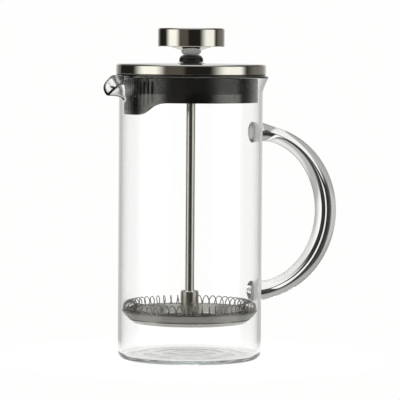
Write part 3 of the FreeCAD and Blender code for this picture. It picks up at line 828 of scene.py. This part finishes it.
# What solid glass shows. Measured from straight behind the object, positive to the camera's left.
SCREENS_BEHIND_GLASS = {
    "white screen": (-33, -15, 17, 1.5, (0.72, 0.72, 0.71)),
    "black screen": (-16, 21, 1.5, 5, (0.02, 0.02, 0.018)),
}
DIM_CORNER = {"dim corner at the left": (-5, 90, 5, 10, (0.3, 0.3, 0.29))}

BARE_WALL = (0.012, 0.011, 0.009)
WALL_BEHIND = (0.5, 0.5, 0.49)
LOW_CEILING = (0.05, 0.05, 0.048)
OVERHEAD = (0.5, 0.5, 0.49)
DARK_FLOOR = (0.05, 0.05, 0.047)

GLIMPSE = (0.4, 0.4, 0.39)
GLIMPSE_ABOVE_AND_BELOW = (0.55, 0.55, 0.54)
GLIMPSE_AT_RIGHT = (0.33, 0.33, 0.32)
GLIMPSE_IN_SLIT = (0.68, 0.68, 0.67)
GLIMPSE_AHEAD = (0.64, 0.64, 0.635)


def fade(tree, value, first, last):
    """Rises smoothly from 0 where the value is first to 1 where it is last."""
    return spread(tree, value, 0.0, 1.0, first, last, "SMOOTHSTEP")


def blend(tree, share, below, above):
    """The colour below where the share is 0, and the colour above where it is 1."""
    node = add_node(tree, "ShaderNodeMixRGB")
    for name, value in (("Fac", share), ("Color1", below), ("Color2", above)):
        feed(tree, node.inputs[name], value)
    return node.outputs["Color"]


def hang(tree, wall, panels, angle):
    """The wall's colour with the panels on it, by the angle round the room."""
    for first, last, soft_first, soft_last, light in panels.values():
        begun = fade(tree, angle, first - soft_first, first + soft_first)
        ended = fade(tree, angle, last - soft_last, last + soft_last)
        inside = maths(tree, "MULTIPLY", begun, maths(tree, "SUBTRACT", 1.0, ended))
        wall = blend(tree, inside, wall, light)
    return wall


def within(tree, angle, inner, outer):
    """1 where the angle is less than inner either way, falling to 0 at outer."""
    return maths(tree, "SUBTRACT", 1.0, fade(tree, maths(tree, "ABSOLUTE", angle), inner, outer))


def room(tree, degrees, up):
    """The room's light. Degrees go round it from the camera's side, and up is the direction's rise, -1 to 1.
    The ceiling is dark low down and grey overhead."""
    walls = hang(tree, BARE_WALL, PANELS, degrees)
    behind = fade(tree, maths(tree, "ABSOLUTE", degrees), 142.0, 170.0)
    walls = blend(tree, behind, walls, WALL_BEHIND)
    walls = blend(tree, fade(tree, up, 0.2, 0.4), walls, LOW_CEILING)
    walls = blend(tree, fade(tree, up, 0.7, 0.95), walls, OVERHEAD)
    return blend(tree, fade(tree, up, -0.22, -0.04), DARK_FLOOR, walls)


def glimpse_through_glass(tree, aside, up):
    """What solid glass, such as the handle, shows of the far side of the room. Aside is in degrees from
    straight behind the object."""
    glimpse = hang(tree, GLIMPSE, SCREENS_BEHIND_GLASS, aside)
    above_and_below = hang(tree, GLIMPSE_ABOVE_AND_BELOW, DIM_CORNER, aside)
    at_right = maths(tree, "MULTIPLY", fade(tree, aside, -3.0, -6.0), fade(tree, up, -0.04, 0.03))
    glimpse = blend(tree, at_right, glimpse, GLIMPSE_AT_RIGHT)
    glimpse = blend(tree, fade(tree, up, 0.12, 0.26), glimpse, above_and_below)
    glimpse = blend(tree, fade(tree, up, -0.28, -0.15), above_and_below, glimpse)
    slit = maths(tree, "MULTIPLY", within(tree, aside, 1.6, 2.8), fade(tree, up, -0.1, -0.085))
    glimpse = blend(tree, slit, glimpse, GLIMPSE_IN_SLIT)
    ahead = maths(tree, "MULTIPLY", within(tree, aside, 7.0, 10.0), fade(tree, up, -0.13, -0.15))
    return blend(tree, ahead, glimpse, GLIMPSE_AHEAD)


def light_by_path(tree, degrees, room_light, glimpse):
    """The room's light as the ray's path through glass and off mirrors changes it, and the share of rays that
    have come straight through both walls of the beaker."""
    path = add_node(tree, "ShaderNodeLightPath")
    surfaces_passed, mirrors = path.outputs["Transmission Depth"], path.outputs["Glossy Depth"]
    straight = maths(tree, "LESS_THAN", mirrors, 0.5)
    off_two_mirrors = maths(tree, "GREATER_THAN", mirrors, 1.5)
    outside = maths(tree, "LESS_THAN", surfaces_passed, 0.5)
    between_mirrors = maths(tree, "MULTIPLY", off_two_mirrors, outside)
    room_light = blend(tree, between_mirrors, room_light, (0.6, 0.6, 0.59))
    far_side = fade(tree, maths(tree, "ABSOLUTE", degrees), 105.0, 130.0)
    edge = blend(tree, far_side, room_light, (0.4, 0.4, 0.39))
    in_glass = maths(tree, "GREATER_THAN", surfaces_passed, 1.5)
    room_light = blend(tree, in_glass, room_light, blend(tree, straight, edge, glimpse))
    deep = maths(tree, "GREATER_THAN", surfaces_passed, 5.5)
    room_light = blend(tree, deep, room_light, (0.3, 0.3, 0.295))
    through_both_walls = maths(tree, "COMPARE", surfaces_passed, 4.0, 1.1)
    return room_light, maths(tree, "MULTIPLY", straight, through_both_walls)


def studio_world(world, camera_azimuth):
    """The room round the table: two tall soft boxes beside the camera with dark between them, grey walls, a
    ceiling and a dark floor. Solid glass shows screens behind the object. Seen straight, or through both
    walls of the beaker, the room is white, and it lights matt pieces with an even pale light."""
    world.use_nodes = True
    tree = world.node_tree
    tree.nodes.clear()
    direction = add_node(tree, "ShaderNodeTexCoord").outputs["Generated"]
    parts = add_node(tree, "ShaderNodeSeparateXYZ")
    tree.links.new(direction, parts.inputs["Vector"])
    heading = maths(tree, "ARCTAN2", parts.outputs["X"], maths(tree, "MULTIPLY", parts.outputs["Y"], -1.0))
    turned = maths(tree, "MULTIPLY_ADD", maths(tree, "SUBTRACT", heading, camera_azimuth), 1 / TAU, 0.5)
    # Both run from -180 to 180.
    degrees = maths(tree, "MULTIPLY_ADD", maths(tree, "FRACT", turned), 360.0, -180.0)
    half_round = maths(tree, "FRACT", maths(tree, "ADD", turned, 0.5))
    aside = maths(tree, "MULTIPLY_ADD", half_round, 360.0, -180.0)
    up = parts.outputs["Z"]
    glimpse = glimpse_through_glass(tree, aside, up)
    room_light, beyond = light_by_path(tree, degrees, room(tree, degrees, up), glimpse)
    path = add_node(tree, "ShaderNodeLightPath")
    lights = (
        (None, room_light, 1.5),
        (beyond, (0.99, 0.99, 0.983), 1.14),
        (path.outputs["Is Diffuse Ray"], (0.95, 0.95, 0.94), 1.0),
        (path.outputs["Is Camera Ray"], (0.99, 0.99, 0.985), 1.0),
    )
    shader = None
    for share, light, strength in lights:
        glow = add_node(tree, "ShaderNodeBackground")
        feed(tree, glow.inputs["Strength"], strength)
        feed(tree, glow.inputs["Color"], light)
        if shader is None:
            shader = glow.outputs["Background"]
            continue
        mix = add_node(tree, "ShaderNodeMixShader")
        for socket, value in zip(mix.inputs, (share, shader, glow.outputs["Background"])):
            tree.links.new(value, socket)
        shader = mix.outputs["Shader"]
    output = add_node(tree, "ShaderNodeOutputWorld")
    tree.links.new(shader, output.inputs["Surface"])


def lay_table(scene):
    """A pale round table top that fades out into the white room."""
    radius = np.linspace(0.02, 0.14, 13)
    just_below = np.full(len(radius), -0.0001)
    columns = 64
    points = turned_rows(np.stack([radius, just_below], axis=1), columns).reshape(-1, 3)
    faces = np.array(quads(len(radius), columns, False, True))[:, ::-1].tolist() + [list(range(columns))]
    mesh = bpy.data.meshes.new("table")
    mesh.from_pydata(points.tolist(), [], faces)
    table = bpy.data.objects.new("table", mesh)
    scene.collection.objects.link(table)
    material, tree, shader = new_material("white_table")
    shader.inputs["Base Color"].default_value = (0.13, 0.13, 0.129, 1)
    shader.inputs["Roughness"].default_value = 0.06
    shader.inputs["Emission Color"].default_value = (1, 1, 0.99, 1)
    shader.inputs["Emission Strength"].default_value = 0.76
    away_from_middle = add_node(tree, "ShaderNodeVectorMath", operation="LENGTH")
    tree.links.new(object_place(tree), away_from_middle.inputs[0])
    reach = spread(tree, away_from_middle.outputs["Value"], 1.0, 0.0, 0.04, 0.1)
    tree.links.new(reach, shader.inputs["Alpha"])
    mesh.materials.append(material)


def hang_lamp(scene):
    """A wide soft lamp overhead that doesn't show in the steel."""
    light = bpy.data.lights.new("overhead", "AREA")
    light.shape = "DISK"
    light.size = 1.6
    light.energy = 30
    lamp = bpy.data.objects.new("overhead", light)
    lamp.location = (0, 0, 1.5)
    lamp.visible_glossy = False
    scene.collection.objects.link(lamp)


def place_camera(scene, azimuth):
    """A long lens a little above the lid's height, looking slightly down."""
    distance, aside, height = 1.43, 0.0049, 0.1643
    pitch, roll = math.radians(3.39), math.radians(0.4)
    away = Vector((math.sin(azimuth), -math.cos(azimuth), 0))
    right = Vector((math.cos(azimuth), math.sin(azimuth), 0))
    back = away * math.cos(pitch) + Vector((0, 0, math.sin(pitch)))
    lens = bpy.data.cameras.new("camera")
    lens.lens = 256.8
    lens.sensor_width = 36
    lens.clip_start, lens.clip_end = 0.01, 50
    camera = bpy.data.objects.new("camera", lens)
    camera.rotation_mode = "QUATERNION"
    turn = Matrix.Rotation(roll, 4, back)
    camera.rotation_quaternion = turn.to_quaternion() @ (-back).to_track_quat("-Z", "Y")
    camera.location = away * distance + right * aside + Vector((0, 0, height))
    scene.collection.objects.link(camera)
    scene.camera = camera


class PRESS_OT_stage(bpy.types.Operator):
    """Lay the table, light it and set the camera"""

    bl_idname = "press.stage"
    bl_label = "Stage"

    def execute(self, context):
        scene = context.scene
        azimuth = math.radians(-24)
        lay_table(scene)
        hang_lamp(scene)
        scene.world = bpy.data.worlds.new("studio")
        studio_world(scene.world, azimuth)
        place_camera(scene, azimuth)
        scene.view_settings.view_transform = "Standard"
        scene.cycles.max_bounces = 24
        scene.cycles.glossy_bounces = 16
        scene.cycles.transmission_bounces = 20
        return {"FINISHED"}


class PRESS_PT_panel(bpy.types.Panel):
    """The press's sizes and build steps"""

    bl_idname = "PRESS_PT_panel"
    bl_label = "French Press"
    bl_space_type = "VIEW_3D"
    bl_region_type = "UI"
    bl_category = "French Press"

    def draw(self, context):
        layout = self.layout
        for group in press(context):
            box = layout.box()
            for name in group.__annotations__:
                box.prop(group, name)
        for operator in OPERATORS:
            layout.operator(operator.bl_idname)


GROUPS = (("press_glass", PressGlass), ("press_lid", PressLid), ("press_plunger", PressPlunger))
OPERATORS = (
    PRESS_OT_glass,
    PRESS_OT_lid,
    PRESS_OT_bush,
    PRESS_OT_knob,
    PRESS_OT_rod,
    PRESS_OT_filter,
    PRESS_OT_stage,
)


def register():
    for name, group in GROUPS:
        bpy.utils.register_class(group)
        setattr(bpy.types.Scene, name, bpy.props.PointerProperty(type=group))
    for cls in (*OPERATORS, PRESS_PT_panel):
        bpy.utils.register_class(cls)


def unregister():
    for cls in reversed((*OPERATORS, PRESS_PT_panel)):
        bpy.utils.unregister_class(cls)
    for name, group in reversed(GROUPS):
        delattr(bpy.types.Scene, name)
        bpy.utils.unregister_class(group)


def main():
    register()
    bpy.ops.press.glass()
    bpy.ops.press.lid()
    bpy.ops.press.bush()
    bpy.ops.press.knob()
    bpy.ops.press.rod()
    bpy.ops.press.filter()
    bpy.ops.press.stage()


if __name__ == "__main__":
    main()
